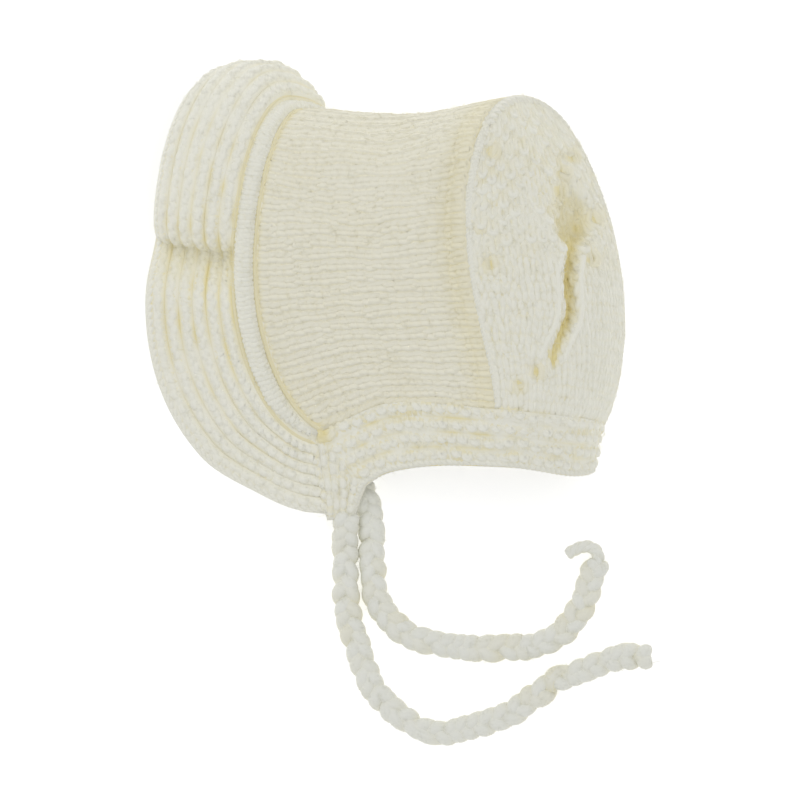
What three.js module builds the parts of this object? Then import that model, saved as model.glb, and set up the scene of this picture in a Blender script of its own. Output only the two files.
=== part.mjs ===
// A knitted baby's bonnet with two braided ties, lying on its side with its face opening towards -X.
// Millimetres, +Z up. The far side of the bonnet lies flat on the plane z = 0 and its near side is on top.
// The top of the head is towards +Y, the neck towards -Y and the back of the head towards +X.
// It is knitted from the face edge backwards: a wide garter brim, a rolled welt, a stocking stitch crown,
// a back panel turned like a sock heel, a garter neckband picked up along the neck, and a braided tie
// at each chin corner.
import * as THREE from "three";

// Walls and joins
const CROWN_WALL = 2.4;
const PANEL_WALL = 2.6;
const GARTER_WALL = 3.0;
const GARTER_RELIEF = 0.8;
const GARTER_HALF = (GARTER_WALL + GARTER_RELIEF) / 2;
const WELT_RADIUS = 2.1;
const SEAM_GAP = 1.1;
const PANEL_GAP = 0.9;
const NECK_GAP = 1.1;
const WELT_GAP = 1;

// Counts of garter ridges
const BRIM_RIDGES = 6;
const NECK_RIDGES = 4;

// Ties
const TIE_RADIUS = 3.6;
const TIE_REST = TIE_RADIUS + 0.05;
const TAIL_RADIUS = 1.7;

// The fold over the top of the head: how far down its round part reaches, and its share of half a ring.
const SHOULDER_DROP = 20;
const SIDE_SHARE = 0.68;
const SIDE_EASE = 1.25;

// The crown's rings, from the welt to the back seam. Each ring runs from the near neck edge up to the fold
// at the top of the head (its nose) and down the far side to the far neck edge. The bows say how far the
// two sides belly out from a straight line, the near one towards the face and the far one to the back.
// A lean below 1 makes a bow fullest towards the neck, and one above 1 towards the fold.
const CROWN_RINGS = [
  {
    along: 0, neckX: -20, neckY: -42.5, neckZ: 12, crestZ: 31, noseX: -28, noseY: 53.8, noseZ: 13,
    nearBow: 18.5, nearLean: 0.6, farBow: 15, farLean: 2, farNeckX: -14, farNeckY: -38,
  },
  {
    along: 0.5, neckX: 5, neckY: -33, neckZ: 21, crestZ: 37, noseX: 6.5, noseY: 51.6, noseZ: 14,
    nearBow: 15, nearLean: 1, farBow: 15, farLean: 1.4, farNeckX: 25, farNeckY: -36,
  },
  {
    along: 1, neckX: 33.5, neckY: -35, neckZ: 28, crestZ: 43, noseX: 39, noseY: 56.8, noseZ: 17,
    nearBow: 12.5, nearLean: 1.5, farBow: 15, farLean: 0.9, farNeckX: 63, farNeckY: -40,
  },
];

// A soft valley runs down the near side just in front of the back seam.
const VALLEY = { along: 0.92, halfWidth: 0.05, depth: 3 };

// How the brim leaves the welt at places around it: it turns outwards from the crown's line by the start
// angle at the welt and by the end angle at its free edge, in degrees, and skew slants it along the welt.
// The jump between the two close rows is the overlapping pleat in the middle of the near side.
const BRIM_SECTIONS = [
  { around: 0, skew: 41, startTurn: 3, endTurn: 15, width: 27 },
  { around: 0.04, skew: 29, startTurn: 0, endTurn: 15.5, width: 26.2 },
  { around: 0.1, skew: 14, startTurn: -4, endTurn: 16, width: 30 },
  { around: 0.25, skew: 2, startTurn: -12, endTurn: -2, width: 33 },
  { around: 0.475, skew: -5, startTurn: -14, endTurn: -16, width: 31 },
  { around: 0.5, skew: 3, startTurn: 16, endTurn: -42, width: 31 },
  { around: 0.7, skew: 0, startTurn: 28, endTurn: -42, width: 31 },
  { around: 0.9, skew: 0, startTurn: 54, endTurn: -36, width: 30 },
  { around: 1, skew: 0, startTurn: 74, endTurn: -34, width: 29 },
  { around: 1.08, skew: 0, startTurn: 86, endTurn: -22, width: 28.5 },
  { around: 1.17, skew: 0, startTurn: 6, endTurn: 0, width: 27 },
  { around: 1.3, skew: 0, startTurn: 0, endTurn: 0, width: 27 },
  { around: 1.84, skew: -16, startTurn: 0, endTurn: 0, width: 26 },
  { around: 2, skew: -76, startTurn: 0, endTurn: 0, width: 24 },
];

// Where the brim is skewed it starts further along its slanted rows, by one over this share at most.
const STEEPEST_START = 0.55;

// The welt stops short of the two chin corners.
const WELT_FROM = 0.005;
const WELT_TO = 1.93;

// The back panel starts along the middle of the crown's last ring, and hangs between the two seams.
const PANEL_TOP_NEAR = 0.8;
const PANEL_TOP_FAR = 1.2;

// The deep fold down the back panel: where it lies across the panel and how far it sinks in.
const SLIT_SECTIONS = [
  { down: 0, across: 0.62, depth: 0 },
  { down: 0.14, across: 0.61, depth: 0 },
  { down: 0.3, across: 0.59, depth: 10 },
  { down: 0.42, across: 0.55, depth: 17 },
  { down: 0.54, across: 0.47, depth: 17 },
  { down: 0.65, across: 0.45, depth: 14 },
  { down: 0.82, across: 0.33, depth: 2 },
  { down: 1, across: 0.32, depth: 0 },
];
const SLIT_FLOOR = 0.035;
const SLIT_LIP = 0.062;
const SLIT_LEAN = 0.25;

// The neckband's lower edge, from the near chin corner round the back to the far chin corner.
const NECK_EDGE = [
  { place: 0, x: -9.8, y: -67.6, z: 6.6 },
  { place: 0.1, x: -5.6, y: -58.5, z: 11 },
  { place: 0.18, x: 3, y: -53.8, z: 14 },
  { place: 0.28, x: 20, y: -52, z: 18 },
  { place: 0.38, x: 38, y: -52.6, z: 20 },
  { place: 0.5, x: 57, y: -55.2, z: 12 },
  { place: 0.56, x: 62, y: -54.2, z: 4 },
  { place: 0.62, x: 54, y: -51.5, z: 1 },
  { place: 0.8, x: 14, y: -49, z: 1 },
  { place: 0.91, x: -2, y: -52, z: 1 },
  { place: 1, x: -5.5, y: -59.5, z: 1 },
];

// Routes of the two ties from the chin corners, with the height of the first points above the floor.
const TIE_NEAR_ROUTE = [
  [-11.9, -70.4, 6.6], [-11.7, -73, 5.6], [-11.7, -76.2, 4.4], [-11.8, -81.3, TIE_REST],
  [-11.8, -86.7, TIE_REST], [-11.6, -92.7, TIE_REST], [-10.6, -98.7, TIE_REST],
  [-8.9, -104.1, TIE_REST], [-7.3, -109.5, TIE_REST], [-5.4, -114.9, TIE_REST],
  [-2.7, -120.3, TIE_REST], [1.2, -124.8, TIE_REST], [5.7, -128.5, TIE_REST],
  [10.8, -131.4, TIE_REST], [16.6, -132.8, TIE_REST], [22.1, -132.1, TIE_REST],
  [27.5, -130.6, TIE_REST], [32.9, -129, TIE_REST], [38.3, -126.8, TIE_REST],
  [43.65, -123, TIE_REST], [49.05, -119.1, TIE_REST], [54.45, -115.8, TIE_REST],
  [59.85, -114, TIE_REST], [65.25, -111.9, TIE_REST], [71.25, -110.1, TIE_REST],
  [79.35, -109.8, TIE_REST],
];
const TIE_FAR_ROUTE = [
  [-5.9, -61.6, TIE_REST], [-4.6, -65.5, TIE_REST], [-4, -70, TIE_REST],
  [-3.8, -75.4, TIE_REST], [-3.8, -80.7, TIE_REST], [-3.4, -86.1, TIE_REST], [-2.5, -91.5, TIE_REST],
  [-0.4, -96.3, TIE_REST], [2.85, -100.2, TIE_REST], [7.65, -103.5, TIE_REST],
  [13.05, -105.3, TIE_REST], [18.45, -106.5, TIE_REST], [23.85, -107.1, TIE_REST],
  [29.25, -107.4, TIE_REST], [34.65, -107.4, TIE_REST], [40.05, -107.1, TIE_REST],
  [45.45, -106.5, TIE_REST], [50.25, -104.7, TIE_REST], [54.45, -101.7, TIE_REST],
  [57.45, -97.8, TIE_REST], [59.85, -93.3, TIE_REST], [61.35, -89.1, TIE_REST],
  [62.85, -84.9, TIE_REST], [64.05, -80.7, TIE_REST],
];
const TAIL_ROUTE = [
  [64.3, -79.4, TIE_REST], [63.75, -77.4, TIE_REST], [61, -76.4, 3], [57.7, -77.4, 2.2],
  [54.8, -79.2, TAIL_RADIUS],
];

const { degToRad, lerp, smoothstep } = THREE.MathUtils;

// Slopes of a monotone cubic through a table's column, so that nothing overshoots between two rows.
function monotoneSlopes(knots, values) {
  const last = knots.length - 1;
  const secants = [];
  for (let i = 0; i < last; i += 1) {
    secants.push((values[i + 1] - values[i]) / (knots[i + 1] - knots[i]));
  }
  return knots.map((knot, i) => {
    if (i === 0) return secants[0];
    if (i === last) return secants[last - 1];
    const before = secants[i - 1];
    const after = secants[i];
    return before * after <= 0 ? 0 : (2 * before * after) / (before + after);
  });
}

// Reads every column of a table at one value of its key column.
function tableReader(rows, key) {
  const knots = rows.map((row) => row[key]);
  const columns = Object.keys(rows[0]).filter((name) => name !== key).map((name) => {
    const values = rows.map((row) => row[name]);
    return { name, values, slopes: monotoneSlopes(knots, values) };
  });
  return (wanted) => {
    const at = THREE.MathUtils.clamp(wanted, knots[0], knots[knots.length - 1]);
    let i = 0;
    while (i < knots.length - 2 && at > knots[i + 1]) i += 1;
    const span = knots[i + 1] - knots[i];
    const t = (at - knots[i]) / span;
    const row = {};
    for (const { name, values, slopes } of columns) {
      const ease = t * t * (3 - 2 * t);
      const leave = t * (1 - t) * (1 - t) * span * slopes[i];
      const arrive = t * t * (1 - t) * span * slopes[i + 1];
      row[name] = lerp(values[i], values[i + 1], ease) + leave - arrive;
    }
    return row;
  };
}

const readRing = tableReader(CROWN_RINGS, "along");
const readBrim = tableReader(BRIM_SECTIONS, "around");
const readSlit = tableReader(SLIT_SECTIONS, "down");
const readNeckEdge = tableReader(NECK_EDGE, "place");

// A point of the crown's middle surface. Along runs from the welt (0) to the back seam (1). Around runs
// from the near neck edge (0) over the fold at the top of the head (1) to the far neck edge (2).
function ringPoint(along, around) {
  const ring = readRing(along);
  const near = around < 1;
  const climb = near ? around : 2 - around;
  const neckX = near ? ring.neckX : ring.farNeckX;
  const neckY = near ? ring.neckY : ring.farNeckY;
  const neckZ = near ? ring.neckZ : CROWN_WALL / 2;
  const crestZ = near ? ring.crestZ : CROWN_WALL / 2;
  const bow = near ? -ring.nearBow : ring.farBow;
  const lean = near ? ring.nearLean : ring.farLean;
  const shoulderY = ring.noseY - SHOULDER_DROP;
  const x = lerp(neckX, ring.noseX, climb) + bow * bowShare(Math.max(climb, 0), lean);
  if (climb >= SIDE_SHARE) {
    const bend = (Math.PI / 2) * ((climb - SIDE_SHARE) / (1 - SIDE_SHARE));
    const y = shoulderY + SHOULDER_DROP * Math.sin(bend);
    const z = ring.noseZ + (crestZ - ring.noseZ) * Math.cos(bend);
    return new THREE.Vector3(x, y, z - valleyDepth(along, near, climb));
  }
  const rise = climb / SIDE_SHARE;
  const y = lerp(neckY, shoulderY, rise);
  const z = lerp(neckZ, crestZ, Math.sin((Math.PI / 2) * Math.max(rise, 0)) ** SIDE_EASE);
  return new THREE.Vector3(x, y, z - valleyDepth(along, near, climb));
}

// How full a bow is on the way up a ring, 1 at its fullest.
function bowShare(climb, lean) {
  const fullest = lean / (1 + lean);
  return (climb / fullest) ** lean * ((1 - climb) / (1 - fullest));
}

function valleyDepth(along, near, climb) {
  if (!near) return 0;
  const off = (along - VALLEY.along) / VALLEY.halfWidth;
  return VALLEY.depth * Math.exp(-off * off) * Math.sin(Math.PI * climb);
}

// The welt's middle line with the directions along it, out of the cloth and forward to the face.
function weltFrame(around) {
  const step = 0.01;
  const centre = ringPoint(0, around);
  const backward = ringPoint(step, around).sub(centre);
  centre.z = Math.max(centre.z, WELT_RADIUS);
  const alongWelt = ringPoint(0, around + step).sub(ringPoint(0, around - step)).normalize();
  const outward = backward.cross(alongWelt).normalize();
  const forward = outward.clone().cross(alongWelt);
  return { centre, alongWelt, outward, forward };
}

// A point of the brim's middle surface, at a distance from the welt's middle line along the cloth.
function brimAt(around, distance) {
  const { centre, alongWelt, outward, forward } = weltFrame(around);
  const section = readBrim(around);
  const start = degToRad(section.startTurn);
  const turned = degToRad(section.endTurn - section.startTurn) * (distance / section.width);
  const half = turned / 2;
  const chord = Math.abs(half) < 1e-6 ? distance : (distance * Math.sin(half)) / half;
  const skew = degToRad(section.skew);
  const point = centre
    .addScaledVector(forward, chord * Math.cos(start + half) * Math.cos(skew))
    .addScaledVector(alongWelt, -chord * Math.cos(start + half) * Math.sin(skew))
    .addScaledVector(outward, chord * Math.sin(start + half));
  point.z = Math.max(point.z, GARTER_HALF);
  return point;
}

function brimPoint(around, out) {
  const section = readBrim(around);
  const start = (WELT_RADIUS + WELT_GAP) / Math.max(Math.cos(degToRad(section.skew)), STEEPEST_START);
  return brimAt(around, lerp(start, section.width, out));
}

// The slit's share of its depth at a place across the panel.
function slitShare(across, middle) {
  return 1 - smoothstep(Math.abs(across - middle), SLIT_FLOOR, SLIT_LIP);
}

// A point of the back panel's middle surface. Across runs from the near seam (0) to the far seam (1), and
// down from the fold at the top of the head (0) to the neck (1).
function panelPoint(across, down) {
  const sweep = (across * Math.PI) / 2;
  const hang = (left, right) => new THREE.Vector3(
    lerp(left.x, right.x, Math.sin(sweep)),
    lerp(left.y, right.y, across),
    lerp(right.z, left.z, Math.cos(sweep)),
  );
  const topNear = ringPoint(1, PANEL_TOP_NEAR);
  const topFar = ringPoint(1, PANEL_TOP_FAR);
  const topEdge = ringPoint(1, lerp(PANEL_TOP_NEAR, PANEL_TOP_FAR, across));
  const nearSeam = ringPoint(1, lerp(PANEL_TOP_NEAR, 0, down));
  const farSeam = ringPoint(1, lerp(PANEL_TOP_FAR, 2, down));
  const point = hang(nearSeam, farSeam);
  const fade = (1 - down) ** 3;
  point.addScaledVector(topEdge.sub(hang(topNear, topFar)), fade);
  const slit = readSlit(down);
  const sunk = slit.depth * slitShare(across, slit.across);
  point.x += lerp(SEAM_GAP, PANEL_GAP + PANEL_WALL / 2, lerp(across, 1, fade)) - SLIT_LEAN * sunk;
  point.z = Math.max(point.z - sunk, PANEL_WALL / 2);
  return point;
}

// The edge that the neckband is picked up along: the near brim's end, the crown's near neck edge, the
// bottom of the back panel, the crown's far neck edge and the far brim's end.
const PICKED_UP = [
  { until: 0.1, point: (share) => brimAt(0, readBrim(0).width * (1 - share)) },
  { until: 0.38, point: (share) => ringPoint(share, 0) },
  { until: 0.58, point: (share) => panelPoint(share, 1) },
  { until: 0.9, point: (share) => ringPoint(1 - share, 2) },
  { until: 1, point: (share) => brimAt(2, readBrim(2).width * share) },
];

function pickedUpPoint(place) {
  let from = 0;
  for (const stretch of PICKED_UP) {
    if (place <= stretch.until) return stretch.point((place - from) / (stretch.until - from));
    from = stretch.until;
  }
  return PICKED_UP[PICKED_UP.length - 1].point(1);
}

// A point of the neckband's middle surface, from the picked-up edge (0) to its lower edge (1).
function neckbandPoint(place, out) {
  const upper = pickedUpPoint(place);
  const edge = readNeckEdge(place);
  const lower = new THREE.Vector3(edge.x, edge.y, edge.z);
  const reach = upper.distanceTo(lower);
  const point = upper.lerp(lower, lerp(NECK_GAP / reach, 1, out));
  point.z = Math.max(point.z, GARTER_HALF);
  return point;
}

// A closed sheet: the middle surface on a grid, moved half a wall out on both sides, with closed rims.
function sheet(pointAt, halfWallAt, rows, columns) {
  const grid = [];
  for (let i = 0; i <= rows; i += 1) {
    for (let j = 0; j <= columns; j += 1) grid.push(pointAt(i / rows, j / columns));
  }
  const at = (i, j) => i * (columns + 1) + j;
  const positions = [];
  for (const side of [1, -1]) {
    for (let i = 0; i <= rows; i += 1) {
      for (let j = 0; j <= columns; j += 1) {
        const rowBefore = grid[at(Math.max(i - 1, 0), j)];
        const rowAfter = grid[at(Math.min(i + 1, rows), j)];
        const columnBefore = grid[at(i, Math.max(j - 1, 0))];
        const columnAfter = grid[at(i, Math.min(j + 1, columns))];
        const downColumn = rowAfter.clone().sub(rowBefore);
        const normal = downColumn.cross(columnAfter.clone().sub(columnBefore)).normalize();
        const half = halfWallAt(i / rows, j / columns);
        positions.push(...grid[at(i, j)].clone().addScaledVector(normal, side * half).toArray());
      }
    }
  }
  const under = (rows + 1) * (columns + 1);
  const faces = [];
  const quad = (a, b, c, d) => faces.push(a, b, c, a, c, d);
  for (let i = 0; i < rows; i += 1) {
    for (let j = 0; j < columns; j += 1) {
      quad(at(i, j), at(i + 1, j), at(i + 1, j + 1), at(i, j + 1));
      quad(under + at(i, j), under + at(i, j + 1), under + at(i + 1, j + 1), under + at(i + 1, j));
    }
  }
  for (let i = 0; i < rows; i += 1) {
    quad(at(i, 0), under + at(i, 0), under + at(i + 1, 0), at(i + 1, 0));
    quad(at(i + 1, columns), under + at(i + 1, columns), under + at(i, columns), at(i, columns));
  }
  for (let j = 0; j < columns; j += 1) {
    quad(at(0, j + 1), under + at(0, j + 1), under + at(0, j), at(0, j));
    quad(at(rows, j), under + at(rows, j), under + at(rows, j + 1), at(rows, j + 1));
  }
  const geometry = new THREE.BufferGeometry();
  geometry.setAttribute("position", new THREE.Float32BufferAttribute(positions, 3));
  geometry.setIndex(faces);
  geometry.computeVertexNormals();
  return geometry;
}

// A round tube with closed ends along a smooth curve.
function tube(points, radius, sides, steps) {
  const outline = [];
  for (let i = 0; i < sides; i += 1) {
    const angle = (2 * Math.PI * i) / sides;
    outline.push(new THREE.Vector2(radius * Math.cos(angle), radius * Math.sin(angle)));
  }
  const extrudePath = new THREE.CatmullRomCurve3(points);
  return new THREE.ExtrudeGeometry(new THREE.Shape(outline), { steps, bevelEnabled: false, extrudePath });
}

const fromRoute = (route) => route.map((point) => new THREE.Vector3(...point));

// Half the thickness of garter cloth, thick on its ridges and thin in the grooves between.
function garterHalf(ridges) {
  return (place, out) => (GARTER_WALL + GARTER_RELIEF * Math.cos(2 * Math.PI * ridges * out)) / 2;
}

function makeBrim() {
  return sheet((i, j) => brimPoint(2 * i, j), garterHalf(BRIM_RIDGES), 80, 2 * BRIM_RIDGES);
}

function makeWelt() {
  const steps = 48;
  const points = [];
  for (let i = 0; i <= steps; i += 1) {
    points.push(weltFrame(lerp(WELT_FROM, WELT_TO, i / steps)).centre);
  }
  return tube(points, WELT_RADIUS, 8, steps);
}

// The crown starts clear of the welt, further back along its rows where they leave the welt at a slant.
function crownStart(around) {
  const { alongWelt } = weltFrame(around);
  const step = 0.1;
  const rowLine = ringPoint(step, around).sub(ringPoint(0, around)).divideScalar(step);
  return (WELT_RADIUS + WELT_GAP) / rowLine.cross(alongWelt).length();
}

function makeCrown() {
  const pointAt = (i, j) => ringPoint(lerp(crownStart(2 * i), 1, j), 2 * i);
  return sheet(pointAt, () => CROWN_WALL / 2, 40, 12);
}

// The grid's columns keep to the slit's lips and floor, so that the fold stays crisp all the way down.
function makePanel() {
  const pointAt = (i, j) => {
    const middle = readSlit(i).across;
    const marks = [0, middle - SLIT_LIP, middle - SLIT_FLOOR, middle + SLIT_FLOOR, middle + SLIT_LIP, 1];
    const shares = [0, 0.45, 0.5, 0.6, 0.65, 1];
    let k = 0;
    while (k < shares.length - 2 && j > shares[k + 1]) k += 1;
    const across = lerp(marks[k], marks[k + 1], (j - shares[k]) / (shares[k + 1] - shares[k]));
    return panelPoint(across, i);
  };
  return sheet(pointAt, () => PANEL_WALL / 2, 18, 20);
}

function makeNeckband() {
  return sheet(neckbandPoint, garterHalf(NECK_RIDGES), 52, 2 * NECK_RIDGES);
}

const WOOL_ROUGHNESS = 0.95;

function piece(name, geometry, color) {
  const material = new THREE.MeshStandardMaterial({ color, roughness: WOOL_ROUGHNESS, metalness: 0 });
  const mesh = new THREE.Mesh(geometry, material);
  mesh.name = name;
  return mesh;
}

const bonnet = new THREE.Group();
bonnet.add(
  piece("brim", makeBrim(), 0xe4e1ce),
  piece("welt", makeWelt(), 0xdedac4),
  piece("crown", makeCrown(), 0xe0ddcb),
  piece("back_panel", makePanel(), 0xdfddcd),
  piece("neckband", makeNeckband(), 0xdfdccb),
  piece("tie_near", tube(fromRoute(TIE_NEAR_ROUTE), TIE_RADIUS, 8, 36), 0xe0dfd4),
  piece("tie_far", tube(fromRoute(TIE_FAR_ROUTE), TIE_RADIUS, 8, 32), 0xe0dfd4),
  piece("tie_tail", tube(fromRoute(TAIL_ROUTE), TAIL_RADIUS, 8, 6), 0xe0dfd4),
);

export default bonnet;
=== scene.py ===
# %% [markdown]
# A knitted baby's bonnet with braided ties, lying on its side.
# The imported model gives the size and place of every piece. This lesson dresses it in wool: each piece of
# cloth gets a thin backing sheet, and yarn is laid over the sheet in real loops, row by row. A picture of
# knitting on smooth sheets would be quicker, but it stays flat, and knitting is all relief.

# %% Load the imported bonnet
import math

import bmesh
import bpy
import numpy as np
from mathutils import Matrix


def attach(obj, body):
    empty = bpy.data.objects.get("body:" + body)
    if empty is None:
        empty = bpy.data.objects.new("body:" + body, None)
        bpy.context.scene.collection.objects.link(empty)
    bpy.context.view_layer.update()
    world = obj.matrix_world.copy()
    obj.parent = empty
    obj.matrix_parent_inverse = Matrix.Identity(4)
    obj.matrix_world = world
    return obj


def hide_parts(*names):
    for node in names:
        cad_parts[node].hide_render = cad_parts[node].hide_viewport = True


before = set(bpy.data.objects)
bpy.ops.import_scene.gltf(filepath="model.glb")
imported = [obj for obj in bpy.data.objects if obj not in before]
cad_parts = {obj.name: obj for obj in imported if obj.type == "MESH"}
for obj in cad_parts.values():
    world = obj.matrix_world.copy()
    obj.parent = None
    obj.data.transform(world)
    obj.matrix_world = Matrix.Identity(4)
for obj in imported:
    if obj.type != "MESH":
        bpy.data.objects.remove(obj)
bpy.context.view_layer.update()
print("nodes:", sorted(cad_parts))

# %% [markdown]
# The camera comes first, because everything else is judged through it. The bonnet was photographed from
# straight above, so the camera looks straight down. An orthographic camera would do, but a photo keeps a
# little perspective, so this one is a long lens far away.

# %% Camera
MM = 0.001
PHOTO_SIDE_PIXELS = 800
PIXEL_MM = 0.3
ORIGIN_PIXEL = (384.5, 291.0)
CAMERA_HEIGHT = 3.0
SHARP_HEIGHT = 0.012
SENSOR_MM = 36.0

camera_data = bpy.data.cameras.new("camera")
camera = bpy.data.objects.new("camera", camera_data)
bpy.context.scene.collection.objects.link(camera)
bpy.context.scene.camera = camera
middle_pixel = PHOTO_SIDE_PIXELS / 2
camera.location = (
    (middle_pixel - ORIGIN_PIXEL[0]) * PIXEL_MM * MM,
    (ORIGIN_PIXEL[1] - middle_pixel) * PIXEL_MM * MM,
    CAMERA_HEIGHT,
)
camera_data.sensor_width = SENSOR_MM
view_width = PHOTO_SIDE_PIXELS * PIXEL_MM * MM
camera_data.lens = SENSOR_MM * (CAMERA_HEIGHT - SHARP_HEIGHT) / view_width
print("the camera sees", round(view_width, 3), "m across with a lens of", round(camera_data.lens), "mm")

# %% [markdown]
# A white floor and big soft lights, as in a small product studio. The key light stands towards the top of
# the head, so that the folds of the brim throw their shadows towards the neck. Stronger lights would make
# the paper white too, but they would bleach the wool, so the paper glows a little itself.

# %% Floor and light
FLOOR_HALF = 2.0
KEY_LIGHT = {"place": (-0.7, 0.9, 1.1), "size": 0.8, "power": 3.2}
FILL_LIGHT = {"place": (0.4, -0.3, 1.8), "size": 1.6, "power": 5.0}
SKY_STRENGTH = 0.59
WHITE = (1, 1, 1, 1)
PAPER_LOOK = {
    "Base Color": (0.93, 0.93, 0.93, 1),
    "Roughness": 0.9,
    "Emission Color": WHITE,
    "Emission Strength": 0.4,
}


def set_look(material, look):
    material.use_nodes = True
    shader = material.node_tree.nodes["Principled BSDF"]
    for socket, value in look.items():
        shader.inputs[socket].default_value = value
    return shader


def soft_light(name, place, size, power):
    light = bpy.data.lights.new(name, "AREA")
    light.size = size
    light.energy = power
    lamp = bpy.data.objects.new(name, light)
    bpy.context.scene.collection.objects.link(lamp)
    lamp.location = place
    lamp.rotation_euler = (-lamp.location).to_track_quat("-Z", "Y").to_euler()


floor_mesh = bpy.data.meshes.new("floor")
floor_form = bmesh.new()
bmesh.ops.create_grid(floor_form, x_segments=1, y_segments=1, size=FLOOR_HALF)
floor_form.to_mesh(floor_mesh)
floor_form.free()
floor = bpy.data.objects.new("floor", floor_mesh)
bpy.context.scene.collection.objects.link(floor)
paper = bpy.data.materials.new("white_paper")
set_look(paper, PAPER_LOOK)
floor_mesh.materials.append(paper)

soft_light("key_light", **KEY_LIGHT)
soft_light("fill_light", **FILL_LIGHT)
world = bpy.data.worlds.new("studio")
bpy.context.scene.world = world
world.use_nodes = True
sky = world.node_tree.nodes["Background"]
sky.inputs["Color"].default_value = WHITE
sky.inputs["Strength"].default_value = SKY_STRENGTH
bpy.context.scene.view_settings.view_transform = "Standard"
print("two soft lights and a pale sky over a white floor")

# %% [markdown]
# The bonnet's form is given by a few tables of sizes, the same that the solid model is made from. Lengths
# are in millimetres from here on, and MM turns them into Blender's metres. A name that ends in _M is in
# metres already. A smooth curve is run through each column. An ordinary spline swings past the values
# where they change fast, and the cloth would bulge there, so this curve never goes past the values on
# either side of it.

# %% Tables of the form, in millimetres and degrees
RINGS = (
    "along neck_x neck_y neck_z crest_z nose_x nose_y nose_z "
    "near_bow near_lean far_bow far_lean far_neck_x far_neck_y",
    (0, -20, -42.5, 12, 31, -28, 53.8, 13, 18.5, 0.6, 15, 2, -14, -38),
    (0.5, 5, -33, 21, 37, 6.5, 51.6, 14, 15, 1, 15, 1.4, 25, -36),
    (1, 33.5, -35, 28, 43, 39, 56.8, 17, 12.5, 1.5, 15, 0.9, 63, -40),
)
BRIM = (
    "around skew start_turn end_turn width",
    (0, 41, 3, 15, 27),
    (0.04, 29, 0, 15.5, 26.2),
    (0.1, 14, -4, 16, 30),
    (0.25, 2, -12, -2, 33),
    (0.475, -5, -14, -16, 31),
    (0.5, 3, 16, -42, 31),
    (0.7, 0, 28, -42, 31),
    (0.9, 0, 54, -36, 30),
    (1, 0, 74, -34, 29),
    (1.08, 0, 86, -22, 28.5),
    (1.17, 0, 6, 0, 27),
    (1.3, 0, 0, 0, 27),
    (1.84, -16, 0, 0, 26),
    (2, -76, 0, 0, 24),
)
SLIT = (
    "down across depth",
    (0, 0.62, 0),
    (0.14, 0.61, 0),
    (0.3, 0.59, 10),
    (0.42, 0.55, 17),
    (0.54, 0.47, 17),
    (0.65, 0.45, 14),
    (0.82, 0.33, 2),
    (1, 0.32, 0),
)
NECK_EDGE = (
    "place x y z",
    (0, -9.8, -67.6, 6.6),
    (0.1, -5.6, -58.5, 11),
    (0.18, 3, -53.8, 14),
    (0.28, 20, -52, 18),
    (0.38, 38, -52.6, 20),
    (0.5, 57, -55.2, 12),
    (0.56, 62, -54.2, 4),
    (0.62, 54, -51.5, 1),
    (0.8, 14, -49, 1),
    (0.91, -2, -52, 1),
    (1, -5.5, -59.5, 1),
)


def monotone_slopes(knots, values):
    secants = np.diff(values) / np.diff(knots)
    before, after = secants[:-1], secants[1:]
    same_way = before * after > 0
    inner = np.zeros(len(before))
    inner[same_way] = (2 * before * after)[same_way] / (before + after)[same_way]
    return np.concatenate([secants[:1], inner, secants[-1:]])


def table_reader(table):
    names = table[0].split()
    columns = np.array(table[1:], float).T
    knots = columns[0]
    slopes = [monotone_slopes(knots, column) for column in columns]

    def read(wanted):
        at = np.clip(wanted, knots[0], knots[-1])
        i = np.clip(np.searchsorted(knots, at, side="left") - 1, 0, len(knots) - 2)
        span = knots[i + 1] - knots[i]
        t = (at - knots[i]) / span
        row = {}
        for name, values, slope in zip(names, columns, slopes):
            eased = values[i] + (values[i + 1] - values[i]) * t * t * (3 - 2 * t)
            leave = t * (1 - t) * (1 - t) * span * slope[i]
            arrive = t * t * (1 - t) * span * slope[i + 1]
            row[name] = eased + leave - arrive
        return row

    return read


read_ring = table_reader(RINGS)
read_brim = table_reader(BRIM)
read_slit = table_reader(SLIT)
read_neck = table_reader(NECK_EDGE)
print("tables read for the crown, the brim, the slit and the neck edge")

# %% [markdown]
# The crown is a row of rings. Each ring climbs the near side from the neck, folds over the top of the head
# and comes down the far side, which lies flat on the floor. It could be modelled once as a mesh, but a
# function that gives any point of it serves both the backing and the yarn that is laid on it.

# %% The crown's surface
CROWN_WALL = 2.4
PANEL_WALL = 2.6
GARTER_HALF = 1.9
WELT_RADIUS = 2.1
SHOULDER_DROP = 20
SIDE_SHARE = 0.68
SIDE_EASE = 1.25
VALLEY = {"along": 0.92, "half_width": 0.05, "depth": 3}


def mix(a, b, share):
    return a + (b - a) * share


def points(x, y, z):
    return np.stack(np.broadcast_arrays(x, y, z), axis=-1)


def unit(vectors):
    return vectors / np.linalg.norm(vectors, axis=-1, keepdims=True)


def bow_share(climb, lean):
    fullest = lean / (1 + lean)
    return (climb / fullest) ** lean * ((1 - climb) / (1 - fullest))


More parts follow.
